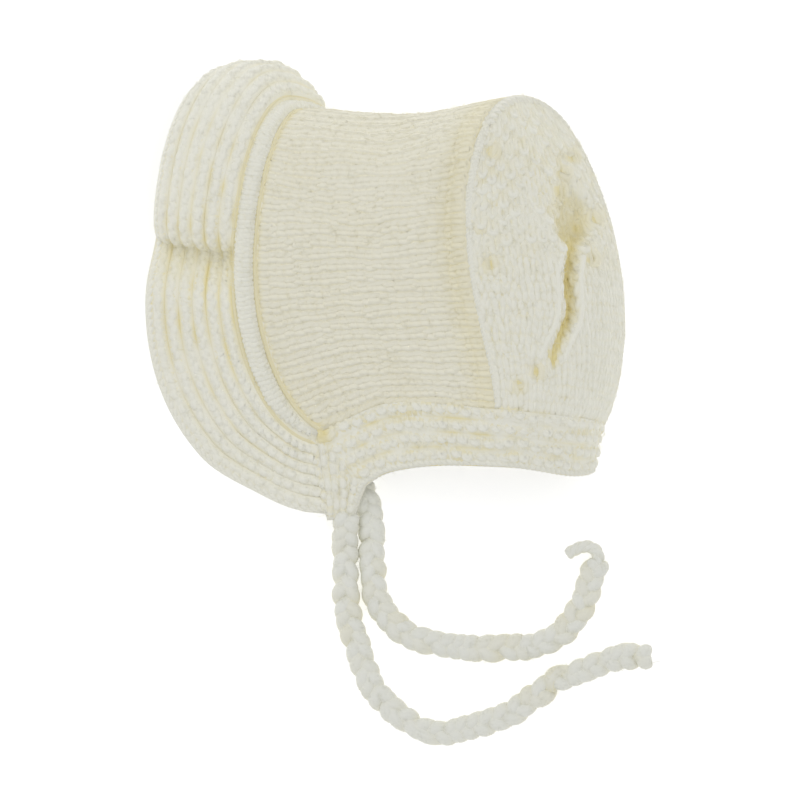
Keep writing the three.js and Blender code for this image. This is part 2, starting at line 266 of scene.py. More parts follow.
def ring_points(along, around):
    along, around = np.broadcast_arrays(np.asarray(along, float), np.asarray(around, float))
    ring = read_ring(along)
    near = around < 1
    climb = np.where(near, around, 2 - around)
    up = np.maximum(climb, 0)
    neck_x = np.where(near, ring["neck_x"], ring["far_neck_x"])
    neck_y = np.where(near, ring["neck_y"], ring["far_neck_y"])
    neck_z = np.where(near, ring["neck_z"], CROWN_WALL / 2)
    crest_z = np.where(near, ring["crest_z"], CROWN_WALL / 2)
    bow = np.where(near, -ring["near_bow"], ring["far_bow"])
    lean = np.where(near, ring["near_lean"], ring["far_lean"])
    shoulder = ring["nose_y"] - SHOULDER_DROP
    x = mix(neck_x, ring["nose_x"], climb) + bow * bow_share(up, lean)
    bend = np.clip((climb - SIDE_SHARE) / (1 - SIDE_SHARE), 0, 1) * math.pi / 2
    rise = climb / SIDE_SHARE
    folding = climb >= SIDE_SHARE
    side_z = mix(neck_z, crest_z, np.sin(np.clip(rise, 0, 1) * math.pi / 2) ** SIDE_EASE)
    fold_z = ring["nose_z"] + (crest_z - ring["nose_z"]) * np.cos(bend)
    y = np.where(folding, shoulder + SHOULDER_DROP * np.sin(bend), mix(neck_y, shoulder, rise))
    off = (along - VALLEY["along"]) / VALLEY["half_width"]
    valley = np.where(near, VALLEY["depth"] * np.exp(-off * off) * np.sin(math.pi * up), 0)
    return points(x, y, np.where(folding, fold_z, side_z) - valley)


print("the crown's nose at the welt:", ring_points(0, 1).round(1))

# %% [markdown]
# The brim springs from the welt, the raised roll along the front of the crown. At every place around the
# welt the brim is an arc that leaves it at one angle and ends at another. On the near side there is a
# pleat: the brim steps down from its puffed upper half into a trough, and rises out of it to the chin.

# %% The brim's surface
FRAME_STEP = 0.01
PLEAT = (
    "around shift drop",
    (0, 0, 0),
    (0.34, 0, 0),
    (0.37, 0, 1.2),
    (0.4, -0.2, 4.2),
    (0.43, -0.6, 6.9),
    (0.455, -1.1, 7.4),
    (0.475, -1.8, 6.8),
    (0.5, 0.8, 3.4),
    (0.525, 0.5, 1.6),
    (0.55, 0.2, 0.5),
    (0.58, 0, 0),
    (2, 0, 0),
)
PLEAT_FROM_WELT = 7.0
PUFF = {"around": 0.97, "half_width": 0.12, "rise": 1.8}
read_pleat = table_reader(PLEAT)


def welt_frame(around):
    around = np.asarray(around, float)
    centre = ring_points(0, around)
    backward = ring_points(FRAME_STEP, around) - centre
    along_welt = unit(ring_points(0, around + FRAME_STEP) - ring_points(0, around - FRAME_STEP))
    outward = unit(np.cross(backward, along_welt))
    forward = np.cross(outward, along_welt)
    centre[..., 2] = np.maximum(centre[..., 2], WELT_RADIUS)
    return centre, along_welt, outward, forward


def brim_at(around, distance):
    around, distance = np.broadcast_arrays(np.asarray(around, float), np.asarray(distance, float))
    centre, along_welt, outward, forward = welt_frame(around)
    section = read_brim(around)
    start = np.radians(section["start_turn"])
    half = np.radians(section["end_turn"] - section["start_turn"]) * distance / section["width"] / 2
    chord = distance * np.sinc(half / math.pi)
    skew = np.radians(section["skew"])
    level = chord * np.cos(start + half)
    place = centre + forward * (level * np.cos(skew))[..., None]
    place -= along_welt * (level * np.sin(skew))[..., None]
    place += outward * (chord * np.sin(start + half))[..., None]
    off_welt = np.clip(distance / PLEAT_FROM_WELT, 0, 1)
    pleat = read_pleat(around)
    puff = PUFF["rise"] * np.exp(-(((around - PUFF["around"]) / PUFF["half_width"]) ** 2))
    puff *= np.sin(math.pi * np.clip(distance / section["width"], 0, 1))
    place += along_welt * (pleat["shift"] * off_welt)[..., None]
    place += outward * (puff - pleat["drop"] * off_welt)[..., None]
    place[..., 2] = np.maximum(place[..., 2], GARTER_HALF)
    return place


def brim_backing_surface(u, v):
    around = 2 * np.clip(u, 0, 1)
    return brim_at(around, read_brim(around)["width"] * v)


print("the brim's chin corner:", brim_backing_surface(0, 1).round(1))

# %% [markdown]
# The back panel hangs between the crown's two back seams like a drop curtain, with one deep fold.
# The neckband is picked up along the whole neck edge and hangs from it to a free lower edge. Simulated
# cloth would find folds of its own, but these have to lie where the real ones lie, so they are drawn.

# %% The surfaces of the back panel and the neckband
SEAM_GAP = 0.4
PANEL_GAP = 0.6
TOP_FADE_POWER = 3
# The tint column is painted shade along the slit's fold, in the hollow at its top and in the slit.
SLIT_FORM = (
    "down floor side shallow lean tint",
    (0, 0.006, 0.04, 0.4, 0.2, 0),
    (0.24, 0.006, 0.1, 0.5, 0.2, 0.08),
    (0.32, 0.05, 0.14, 0.6, 0.2, 0.35),
    (0.39, 0.05, 0.12, 0.5, 0.3, 0.5),
    (0.46, 0.02, 0.04, 0.26, 0.5, 1),
    (0.76, 0.02, 0.035, 0.3, 0.5, 1),
    (0.83, 0.01, 0.03, 0.4, 0.5, 1),
    (0.85, 0.006, 0.03, 0.4, 0.2, 0),
    (1, 0.006, 0.03, 0.4, 0.2, 0),
)
read_slit_form = table_reader(SLIT_FORM)
PANEL_TOP_NEAR = 0.8
PANEL_TOP_FAR = 1.2


def hang(left, right, across):
    sweep = across * math.pi / 2
    return points(
        mix(left[..., 0], right[..., 0], np.sin(sweep)),
        mix(left[..., 1], right[..., 1], across),
        mix(right[..., 2], left[..., 2], np.cos(sweep)),
    )


def slit_share(across, down):
    form = read_slit_form(down)
    reach = np.clip((np.abs(across - read_slit(down)["across"]) - form["floor"]) / form["side"], 0, 1)
    return 1 - reach * reach * (3 - 2 * reach)


def slit_depth(across, down):
    return read_slit_form(down)["shallow"] * read_slit(down)["depth"] * slit_share(across, down)


def panel_surface(across, down):
    across, down = np.broadcast_arrays(np.clip(across, 0, 1.0), np.clip(down, 0, 1.0))
    top_near, top_far = ring_points(1, PANEL_TOP_NEAR), ring_points(1, PANEL_TOP_FAR)
    near_seam = ring_points(1, mix(PANEL_TOP_NEAR, 0, down))
    far_seam = ring_points(1, mix(PANEL_TOP_FAR, 2, down))
    fade = (1 - down) ** TOP_FADE_POWER
    top_edge = ring_points(1, mix(PANEL_TOP_NEAR, PANEL_TOP_FAR, across))
    place = hang(near_seam, far_seam, across)
    place += (top_edge - hang(top_near, top_far, across)) * fade[..., None]
    sunk = slit_depth(across, down)
    place[..., 0] += mix(SEAM_GAP, PANEL_GAP + PANEL_WALL / 2, mix(across, 1, fade))
    place[..., 0] -= read_slit_form(down)["lean"] * sunk
    place[..., 2] = np.maximum(place[..., 2] - sunk, PANEL_WALL / 2)
    return place


PICKED_UP = (
    (0.1, lambda share: brim_at(0, read_brim(0)["width"] * (1 - share))),
    (0.38, lambda share: ring_points(share, 0)),
    (0.58, lambda share: panel_surface(share, 1)),
    (0.9, lambda share: ring_points(1 - share, 2)),
    (1, lambda share: brim_at(2, read_brim(2)["width"] * share)),
)


def picked_up(place):
    edge = np.zeros((*place.shape, 3))
    since = 0
    for until, stretch in PICKED_UP:
        here = (place >= since) & (place <= until)
        edge[here] = stretch((place[here] - since) / (until - since))
        since = until
    return edge


def neckband_surface(place, out):
    place, out = np.broadcast_arrays(np.clip(place, 0, 1.0), np.asarray(out, float))
    neck = read_neck(place)
    lower = points(neck["x"], neck["y"], neck["z"])
    band = mix(picked_up(place), lower, out[..., None])
    band[..., 2] = np.maximum(band[..., 2], GARTER_HALF)
    return band


print("the neckband's near corner:", neckband_surface(0, 1).round(1))

# %% [markdown]
# Wool. Cream yarn is lightest where it stands proud, and turns a warm honey deep between the stitches,
# where light reaches it only after bouncing from yarn to yarn. A depth attribute on every yarn carries
# that. Fine noise makes the fibres, a slow one makes the small differences along the yarn, and a little
# sheen stands for the finest fuzz. A photo of wool could be wrapped round the yarn, but noise has no
# seams. The crown has yellowed a little more than the rest.

# %% Wool material
FIBRE_SCALE = 1500.0
FIBRE_DETAIL = 3.0
FIBRE_BUMP = {"Strength": 0.5, "Distance": 0.0003}
CLOUD_SCALE = 55.0
# Honey is the painted shade of wool that lies deep between the stitches.
SHADE_HONEY = (0.87, 0.775, 0.41, 1)
WOOL_LOOK = {
    "Roughness": 0.92,
    "Specular IOR Level": 0.2,
    "Sheen Weight": 0.15,
    "Sheen Roughness": 0.6,
    "Sheen Tint": (1.0, 0.95, 0.82, 1),
}
CREAM = {"proud": (0.925, 0.921, 0.835, 1), "clouded": (0.925, 0.916, 0.815, 1)}
BRIM_CREAM = {"proud": (0.938, 0.931, 0.845, 1), "clouded": (0.936, 0.926, 0.815, 1)}
YELLOWED = {"proud": (0.928, 0.91, 0.795, 1), "clouded": (0.914, 0.881, 0.725, 1)}
TIE_CREAM = {"proud": (0.88, 0.887, 0.83, 1), "clouded": (0.875, 0.88, 0.81, 1)}


def wool(name, proud, clouded):
    material = bpy.data.materials.new(name)
    shader = set_look(material, WOOL_LOOK)
    nodes, links = material.node_tree.nodes, material.node_tree.links
    where = nodes.new("ShaderNodeTexCoord")
    depth = nodes.new("ShaderNodeAttribute")
    depth.attribute_name = "depth"
    clouds = nodes.new("ShaderNodeTexNoise")
    clouds.inputs["Scale"].default_value = CLOUD_SCALE
    fibres = nodes.new("ShaderNodeTexNoise")
    fibres.inputs["Scale"].default_value = FIBRE_SCALE
    fibres.inputs["Detail"].default_value = FIBRE_DETAIL
    cloud_tint = nodes.new("ShaderNodeMix")
    cloud_tint.data_type = "RGBA"
    cloud_tint.inputs["A"].default_value = proud
    cloud_tint.inputs["B"].default_value = clouded
    # The depth attribute mixes in the painted shade.
    depth_shade = nodes.new("ShaderNodeMix")
    depth_shade.data_type = "RGBA"
    depth_shade.inputs["A"].default_value = SHADE_HONEY
    bump = nodes.new("ShaderNodeBump")
    for socket, value in FIBRE_BUMP.items():
        bump.inputs[socket].default_value = value
    links.new(where.outputs["Object"], clouds.inputs["Vector"])
    links.new(where.outputs["Object"], fibres.inputs["Vector"])
    links.new(clouds.outputs["Fac"], cloud_tint.inputs["Factor"])
    links.new(cloud_tint.outputs["Result"], depth_shade.inputs["B"])
    links.new(depth.outputs["Fac"], depth_shade.inputs["Factor"])
    links.new(depth_shade.outputs["Result"], shader.inputs["Base Color"])
    links.new(fibres.outputs["Fac"], bump.inputs["Height"])
    links.new(bump.outputs["Normal"], shader.inputs["Normal"])
    return material


cream_yarn = wool("cream_yarn", **CREAM)
brim_wool = wool("brim_yarn", **BRIM_CREAM)
yellowed_yarn = wool("yellowed_yarn", **YELLOWED)
tie_yarn = wool("tie_yarn", **TIE_CREAM)
print("yarns:", [yarn.name for yarn in (cream_yarn, brim_wool, yellowed_yarn, tie_yarn)])

# %% [markdown]
# A yarn is a thin tube along a path. Blender's own way is a curve with a round bevel, but a curve hands no
# attribute on to its mesh, and the depth of the yarn is one. So a helper sweeps a tube of a few sides along
# each path and joins the tubes in one mesh, with a strip of texture space for each yarn. The ends are
# rounded, as the ends of soft wool are.

# %% Tubes of yarn
YARN_SIDES = 5
FULL_SIDES = 7
FLOOR_CLEAR = 0.02
STRIP_MARGIN = 0.1
STRIP_FILL = 0.8
STRIP_END = 0.002
LEAST_END = 0.15


def link_mesh(name, mesh, material):
    piece = bpy.data.objects.new(name, mesh)
    bpy.context.scene.collection.objects.link(piece)
    mesh.materials.append(material)
    mesh.polygons.foreach_set("use_smooth", np.ones(len(mesh.polygons), bool))
    return piece


def lengths_along(path):
    return np.concatenate([[0], np.cumsum(np.linalg.norm(np.diff(path, axis=0), axis=1))])


def end_rounding(path, radius):
    travelled = lengths_along(path)
    from_end = np.minimum(travelled, travelled[-1] - travelled)
    inside = np.clip(1 - from_end / radius, 0, 1)
    return np.maximum(np.sqrt(1 - inside * inside), LEAST_END)


def lay_yarn(name, strands, radius, material, sides=YARN_SIDES):
    turn = np.arange(sides) * 2 * math.pi / sides
    rings, depths = [], []
    quads, caps, strips = [], [], []
    first = 0
    for lane, (path, normal, depth) in enumerate(strands):
        tangent = unit(np.gradient(path, axis=0))
        side = unit(np.cross(tangent, normal))
        lift = np.cross(side, tangent)
        thick = (radius * end_rounding(path, radius))[:, None, None]
        ring = path[:, None] + thick * (
            np.cos(turn)[:, None] * side[:, None] + np.sin(turn)[:, None] * lift[:, None]
        )
        count = len(path)
        index = first + np.arange(count * sides).reshape(count, sides)
        following = np.roll(index, -1, axis=1)
        quads.append(np.stack([index[:-1], following[:-1], following[1:], index[1:]], -1).reshape(-1, 4))
        caps += [index[0][::-1].tolist(), index[-1].tolist()]
        u = np.linspace(STRIP_END, 1 - STRIP_END, count)
        low = (lane + STRIP_MARGIN + STRIP_FILL * np.arange(sides) / sides) / len(strands)
        high = low + STRIP_FILL / sides / len(strands)
        corners = [(u[:-1], low), (u[:-1], high), (u[1:], high), (u[1:], low)]
        strips.append(np.stack([np.stack(np.meshgrid(a, b, indexing="ij"), -1) for a, b in corners], 2))
        rings.append(ring.reshape(-1, 3))
        depths.append(np.repeat(depth, sides))
        first += count * sides
    vertices = np.concatenate(rings)
    vertices[:, 2] = np.maximum(vertices[:, 2], FLOOR_CLEAR)
    faces = np.concatenate(quads)
    mesh = bpy.data.meshes.new(name)
    mesh.from_pydata((vertices * MM).tolist(), [], faces.tolist() + caps)
    uv = np.zeros((len(mesh.loops), 2))
    strip = np.concatenate([s.reshape(-1, 2) for s in strips])
    uv[: len(strip)] = strip
    mesh.uv_layers.new(name="OFBake").data.foreach_set("uv", uv.ravel())
    mesh.attributes.new("depth", "FLOAT", "POINT").data.foreach_set("value", np.concatenate(depths))
    mesh.validate()
    print(name, "has", len(strands), "yarns and", 2 * len(faces), "triangles along their sides")
    return link_mesh(name, mesh, material)


print("yarn tubes with", YARN_SIDES, "or", FULL_SIDES, "sides")

# %% [markdown]
# Wool is hairy. Loose fibre ends stand off every yarn, lean along it and curl back, and give the cloth its
# soft outline. A hair system could draw them, but only in a render, and the model is also kept as meshes.
# So each one is a hair-thin tube that starts inside its yarn.

# %% Loose fibres
FIBRE_RADIUS = 0.05
FIBRE_SIDES = 3
FIBRE_POINTS = 6
FIBRE_LENGTH = (1.5, 4.0)
FIBRE_STAND = (0.4, 1.0)
FIBRE_CURL = (0.2, 0.9)
HAND_SEED = 7
fibre_shares = np.linspace(0, 1, FIBRE_POINTS)[:, None]
hand = np.random.default_rng(HAND_SEED)


def fuzz(name, strands, radius, count, material):
    steps = np.array([len(path) for path, _, _ in strands])
    strand_of = hand.choice(len(strands), count, p=steps / steps.sum())
    fibres = []
    for chosen in strand_of:
        path, normal, depth = strands[chosen]
        root = hand.integers(len(path))
        outward = normal[root]
        lean = hand.normal(size=3)
        lean -= outward * (lean @ outward)
        lean /= np.linalg.norm(lean)
        length, stand, curl = [hand.uniform(*span) for span in (FIBRE_LENGTH, FIBRE_STAND, FIBRE_CURL)]
        rise = outward * (stand * fibre_shares - curl * fibre_shares**2)
        line = path[root] + outward * radius / 2 + length * (lean * fibre_shares + rise)
        fibres.append((line, np.broadcast_to(outward, line.shape), np.full(len(line), depth[root])))
    return lay_yarn(name, fibres, FIBRE_RADIUS, material, FIBRE_SIDES)


print("loose fibres of", 2 * FIBRE_RADIUS, "mm")

# %% [markdown]
# The ties are three-strand braids. Each strand swings from side to side along the tie's route, and dips
# under its neighbours twice for every swing. It has yellowed where it lies slack. The routes follow those
# of the solid ties, with one more point at the start, where the tie is sewn in under the corner of the
# neckband. A short braid could be repeated along them with an array, but then every crossing would be the
# same. The hooked tail of the far tie is three thinner strands, twisted round each other.

# %% Ties
TIE_REST = 3.65
TIE_NEAR_ROUTE = [
    (-11.2, -66.6, 7.4), (-11.9, -70.4, 6.6), (-11.7, -73, 5.6), (-11.7, -76.2, 4.4), (-11.8, -81.3),
    (-11.8, -86.7), (-11.6, -92.7), (-10.6, -98.7), (-8.9, -104.1), (-7.3, -109.5), (-5.4, -114.9),
    (-2.7, -120.3), (1.2, -124.8), (5.7, -128.5), (10.8, -131.4), (16.6, -132.8), (22.1, -132.1),
    (27.5, -130.6), (32.9, -129), (38.3, -126.8), (43.65, -123), (49.05, -119.1), (54.45, -115.8),
    (59.85, -114), (65.25, -111.9), (71.25, -110.1), (80.2, -109.8),
]
TIE_FAR_ROUTE = [
    (-7.2, -57.8), (-5.9, -61.6), (-4.6, -65.5), (-4, -70), (-3.8, -75.4), (-3.8, -80.7), (-3.4, -86.1),
    (-2.5, -91.5), (-0.4, -96.3), (2.85, -100.2), (7.65, -103.5), (13.05, -105.3), (18.45, -106.5),
    (23.85, -107.1), (29.25, -107.4), (34.65, -107.4), (40.05, -107.1), (45.45, -106.5), (50.25, -104.7),
    (54.45, -101.7), (57.45, -97.8), (59.85, -93.3), (61.35, -89.1), (62.85, -84.9), (64.05, -80.7),
]
TAIL_ROUTE = [(63.7, -82.8), (64.2, -79), (61.8, -76.9, 3), (57.9, -77.5, 2.3), (54.8, -79.4, 2)]
ROUTE_STEP = 0.6
STRANDS = 3
STRAND_RADIUS = 2.2
BRAID_PERIOD = 13.0
BRAID_SWING = 1.95
BRAID_DIP = 0.75
BRAID_DROP = 0.3
BRAID_SIDES = 10
BRAID_DRIFT = 0.12
DRIFT_STEP = 9.0
# Painted shade where a strand dips under its neighbours.
DIP_SHADE = 0.16
SLACK_TINT = 0.12
MOST_SLACK = 2
TAIL_RADIUS = 1.15
TAIL_TWIST = 0.8
TAIL_PITCH = 8.0
NEAR_TIE_FIBRES = 1400
FAR_TIE_FIBRES = 1100
UP = np.array([0.0, 0.0, 1.0])


def smooth_route(route):
    knots = np.array([(*p, TIE_REST)[:3] for p in route], float)
    curve = bpy.data.curves.new("route", "CURVE")
    curve.dimensions = "3D"
    spline = curve.splines.new("BEZIER")
    spline.bezier_points.add(len(knots) - 1)
    for bezier_point, knot in zip(spline.bezier_points, knots):
        bezier_point.co = knot
        bezier_point.handle_left_type = bezier_point.handle_right_type = "AUTO"
    holder = bpy.data.objects.new("route", curve)
    bpy.context.scene.collection.objects.link(holder)
    line = holder.to_mesh()
    dense = np.array([v.co for v in line.vertices])
    holder.to_mesh_clear()
    bpy.data.objects.remove(holder)
    travelled = lengths_along(dense)
    steps = np.linspace(0, travelled[-1], int(travelled[-1] / ROUTE_STEP) + 1)
    return steps, np.stack([np.interp(steps, travelled, dense[:, k]) for k in range(3)], 1)


def braid(name, route):
    steps, path = smooth_route(route)
    tangent = unit(np.gradient(path, axis=0))
    sideways = unit(np.cross(tangent, UP))
    knots = np.arange(0, steps[-1] + DRIFT_STEP, DRIFT_STEP)
    strands = []
    for strand in range(STRANDS):
        drift = np.interp(steps, knots, hand.normal(0, BRAID_DRIFT, len(knots)))
        slack = np.interp(steps, knots, hand.normal(0, BRAID_DRIFT, len(knots)))
        phase = 2 * math.pi * (steps / BRAID_PERIOD + strand / STRANDS + drift)
        swing = BRAID_SWING * (1 + slack) * np.sin(phase)
        dip = BRAID_DIP * np.sin(2 * phase)
        strand_path = path + sideways * swing[:, None] + UP * (dip - BRAID_DROP)[:, None]
        # Painted shade where the strand dips under.
        sunk = DIP_SHADE * (1 - dip / BRAID_DIP) / 2
        yellowed = SLACK_TINT * np.clip(slack / BRAID_DRIFT, 0, MOST_SLACK)
        strands.append((strand_path, np.broadcast_to(UP, path.shape), 1 - sunk - yellowed))
    return lay_yarn(name, strands, STRAND_RADIUS, tie_yarn, BRAID_SIDES), strands, steps[-1], path


def twisted_tail(route):
    steps, path = smooth_route(route)
    sideways = unit(np.cross(np.gradient(path, axis=0), UP))
    strands = []
    for strand in range(STRANDS):
        turned = 2 * math.pi * (steps / TAIL_PITCH + strand / STRANDS)
        winding = sideways * np.cos(turned)[:, None] + UP * np.sin(turned)[:, None]
        # Painted shade where the strand turns under.
        sunk = DIP_SHADE * (1 - np.sin(turned)) / 2
        strands.append((path + TAIL_TWIST * winding, np.broadcast_to(UP, path.shape), 1 - sunk))
    return strands


tie_near, near_strands, near_length, near_path = braid("braid_near", TIE_NEAR_ROUTE)
tie_far, far_strands, far_length, far_path = braid("braid_far", TIE_FAR_ROUTE)
near_fuzz = fuzz("tie_near_fuzz", near_strands, STRAND_RADIUS, NEAR_TIE_FIBRES, tie_yarn)
far_fuzz = fuzz("tie_far_fuzz", far_strands, STRAND_RADIUS, FAR_TIE_FIBRES, tie_yarn)
tie_tail = lay_yarn("loose_tail", twisted_tail(TAIL_ROUTE), TAIL_RADIUS, tie_yarn, BRAID_SIDES)
for cord, node in ((tie_near, "tie_near"), (tie_far, "tie_far"), (tie_tail, "tie_tail")):
    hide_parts(node)
for piece in (tie_near, tie_far, tie_tail, near_fuzz, far_fuzz):
    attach(piece, "root")
print("ties of", round(near_length), "and", round(far_length), "mm")

# %% [markdown]
# Every piece of cloth has a backing sheet: a flat grid, moved onto the piece's surface and given a little
# thickness by a Solidify modifier. Real knitting has none, but yarn closes its own chinks by swelling, and
# these tubes don't. Where a groove or an eyelet shows the sheet it gets painted shade, a deeper honey, in
# random blotches. Under garter stitch it is folded into ridges, as that cloth is.

# %% Backing sheets
RIDGE_HEIGHT = 0.5
RIDGE_FULLNESS = 0.6
BLOTCH_COUNT = 60
BLOTCH_STRENGTH = (0.0, 1.5)
SQUARE_CM = 1e-4


def backing(name, surface, grid, shade, material, thickness):
    form = bmesh.new()
    bmesh.ops.create_grid(form, x_segments=grid[0], y_segments=grid[1], size=1)
    flat = (np.array([v.co for v in form.verts]) + 1) / 2
    place = surface(flat[:, 0], flat[:, 1]) * MM
    for vertex, spot in zip(form.verts, place):
        vertex.co = spot
    area = sum(face.calc_area() for face in form.faces)
    mesh = bpy.data.meshes.new(name)
    form.to_mesh(mesh)
    form.free()
    depth = np.broadcast_to(shade(flat[:, 0], flat[:, 1]), len(flat))
    mesh.attributes.new("depth", "FLOAT", "POINT").data.foreach_set("value", depth.copy())
    sheet = link_mesh(name, mesh, material)
    wall = sheet.modifiers.new("wall", "SOLIDIFY")
    wall.thickness = thickness * MM
    wall.offset = 0
    print(name, "covers", round(area / SQUARE_CM, 1), "square centimetres")
    return sheet


# Random strength for the painted shade in the grooves.
def blotches(grooves):
    strength = hand.uniform(*BLOTCH_STRENGTH, (grooves + 1, BLOTCH_COUNT))

    def read(u, v):
        groove = np.clip(np.round(v * grooves), 0, grooves).astype(int)
        spot = np.clip(u, 0, 1) * (BLOTCH_COUNT - 1)
        before = np.minimum(spot.astype(int), BLOTCH_COUNT - 2)
        return mix(strength[groove, before], strength[groove, before + 1], spot - before)

    return read


def ridge_share(v, rows):
    return np.abs(np.sin(math.pi / 2 * rows * np.clip(v, 0, 1))) ** RIDGE_FULLNESS


def cloth(node, sheet, stitches):
    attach(sheet, "root")
    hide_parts(node)
    for stitch in stitches:
        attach(stitch, "root")


print("garter ridges stand", RIDGE_HEIGHT, "mm proud")

# %% [markdown]
# Knitting. In stocking stitch every row of yarn is the same wavy line: it swings up and down past its
# neighbours, doubles back on itself at the heads and feet of the loops, and comes forward along their legs.
# In garter stitch the rows lean forwards and backwards in turn, so that their heads meet in ridges.
# Where a second loop of each pair stays low, a ridge breaks up into beads. In seed stitch single loops lean
# forwards and backwards in turn, which gives small scattered bumps. Eyelets are made last: the loops around
# each one are pushed aside, and painted shade turns the wool around each one honey, most at the chin. One
# stitch could be modelled and copied over the sheet, but in real knitting a row is one yarn from end to end,
# and no two loops are quite the same.

# %% Knit stitches
LOOP_STEPS = 14
STOCKING = {"width": 1.05, "reach": 0.86, "lift": 0.28}
GARTER = {"width": 0.6, "reach": 0.66, "lift": 0.8}
GROOVE_REACH = 0.4
LEAST_GROOVE = 0.1
MOST_GROOVE = 1.5
NORMAL_STEP = 0.002
UNEVEN = {"stocking": 0.09, "garter": 0.09, "seed": 0.13}
SEED_LIFT = 1.2
# Painted shade on the low parts of stocking and seed stitch loops.
SUNK_SHADE = 0.17
EYELETS = [
    (31.6, 41.2), (31.1, 7.8), (40.1, -28.2), (45.2, -24), (55.7, 39.9), (53, 34.8), (51.8, 30),
    (62.9, 21.3), (57.2, 18), (61.7, 9.3), (-18.2, -42.3),
]
CHIN_EYELET = EYELETS[-1:]
CHIN_EYELET_SHADE = 0.8
EYELET_PUSH = 1.4
EYELET_SPREAD = 2.2
EYELET_SHADE = 0.28
EYELET_FACING = 0.1
NOT_ZERO = 0.001
SPREAD_SAMPLES = 801


def surface_normal(surface, u, v):
    low_u, high_u = np.clip(u - NORMAL_STEP, 0, 1), np.clip(u + NORMAL_STEP, 0, 1)
    low_v, high_v = np.clip(v - NORMAL_STEP, 0, 1), np.clip(v + NORMAL_STEP, 0, 1)
    across = surface(high_u, v) - surface(low_u, v)
    down = surface(u, high_v) - surface(u, low_v)
    return unit(np.cross(across, down))


def open_eyelets(path, normal):
    facing = normal[:, 2] > EYELET_FACING
    for eyelet in EYELETS:
        away = path[:, :2] - eyelet
        far = np.maximum(np.linalg.norm(away, axis=1), NOT_ZERO)
        push = EYELET_PUSH * np.exp(-((far / EYELET_SPREAD) ** 2)) * facing
        path[:, :2] += away * (push / far)[:, None]
    return path


def near_eyelet(place, eyelets):
    away = np.linalg.norm(place[:, None, :2] - np.array(eyelets)[None], axis=2).min(axis=1)
    return np.exp(-((away / EYELET_SPREAD) ** 2))


# Painted shade around the eyelets, deepest at the chin.
def eyelet_shade(place):
    at_chin = CHIN_EYELET_SHADE * near_eyelet(place, CHIN_EYELET)
    return np.maximum(EYELET_SHADE * near_eyelet(place, EYELETS), at_chin)


def unshaded(u, v):
    return 1.0


def nowhere(at):
    return 0.0


def knit(
    surface, rows, stitches, outward, uneven, shade=unshaded, sunk=SUNK_SHADE, groove=None,
    seeded=nowhere, beaded=nowhere,
):
    turn = np.arange(stitches * LOOP_STEPS + 1) * 2 * math.pi / LOOP_STEPS
    loop = GARTER if groove else STOCKING
    overhang = 0 if groove else loop["reach"] - 0.5
    at = turn / (2 * math.pi)
    strands = []
    for row in range(rows):
        wobble = hand.normal(0, uneven, (3, stitches + 1))
        slide, tall, puff = [np.interp(at, np.arange(stitches + 1), w) for w in wobble]
        fade = np.interp(at, np.arange(stitches + 1), hand.uniform(LEAST_GROOVE, MOST_GROOVE, stitches + 1))
        u = np.clip((at + slide + loop["width"] * np.sin(2 * turn) / (2 * math.pi)) / stitches, 0, 1)
        down = row + 0.5 + tall + loop["reach"] * np.cos(turn)
        v = np.clip((down + overhang) / (rows + 2 * overhang), 0, 1)
        # Painted shade: loops turn honey where they lie low, in garter grooves and between stocking
        # stitches.
        if groove:
            lift = np.cos(turn)
            if row % 2:
                lift = -lift * np.where(lift < 0, 1 - beaded(u), 1)
            depth = 1 - groove(u) * fade * np.exp(-((lift / GROOVE_REACH) ** 2))
        else:
            seed = SEED_LIFT * fade * np.cos(math.pi * (at + row)) * np.cos(turn)
            lift = mix(-np.cos(2 * turn), seed, seeded(v))
            depth = np.clip(1 - sunk * fade * (1 - lift) / 2, 0, 1)
        normal = outward * surface_normal(surface, u, v)
        path = surface(u, v) + normal * (loop["lift"] * lift + puff)[:, None]
        depth = depth * shade(u, v) * (1 - eyelet_shade(path))
        strands.append((open_eyelets(path, normal), normal, depth))
    return strands


def even_spread(line):
    share = np.linspace(0, 1, SPREAD_SAMPLES)
    travelled = lengths_along(line(share))
    return lambda even: np.interp(np.clip(even, 0, 1), travelled / travelled[-1], share)


print("a loop is drawn through", LOOP_STEPS, "points, and", len(EYELETS), "eyelets are opened")

# %% [markdown]
# Every free edge, and every seam of the back panel, is finished with two yarns twisted round each other, as
# in a cast-on edge. One thick yarn would close it as well, but the twist gives the outline small beads.

# %% Cast-on edges
EDGE_TWIST = 0.45
EDGE_STEPS_A_TURN = 10
# Painted shade on the side of the twist that turns in towards the cloth.
EDGE_SHADE = 0.1
EDGE_YARN = 1.18


def cast_on_edge(surface, v, turns, outward, twist=EDGE_TWIST):
    u = np.linspace(0, 1, turns * EDGE_STEPS_A_TURN + 1)
    at_edge = np.full(len(u), v)
    normal = outward * surface_normal(surface, u, at_edge)
    path = surface(u, at_edge)
    sideways = unit(np.cross(unit(np.gradient(path, axis=0)), normal))
    strands = []
    for half_turn in (0, math.pi):
        turned = 2 * math.pi * turns * u + half_turn
        winding = normal * np.cos(turned)[:, None] + sideways * np.sin(turned)[:, None]
        # Painted shade where the yarn turns in towards the cloth.
        sunk = EDGE_SHADE * (1 - np.cos(turned)) / 2
        strands.append((path + twist * winding, normal, 1 - sunk))
    return strands


print("cast-on edges twist", EDGE_TWIST, "mm from their line")

# %% [markdown]
# The crown is plain stocking stitch. Its columns of V-shaped stitches run from the welt to the back seam.
# They waver a little, as they do in hand knitting. Painted shade turns the crown honey in the groove beside
# the welt, in the valley in front of the back seam and along the neck edge. That could be painted on by
# hand, but a rule that tells how deep the wool lies follows the form by itself.

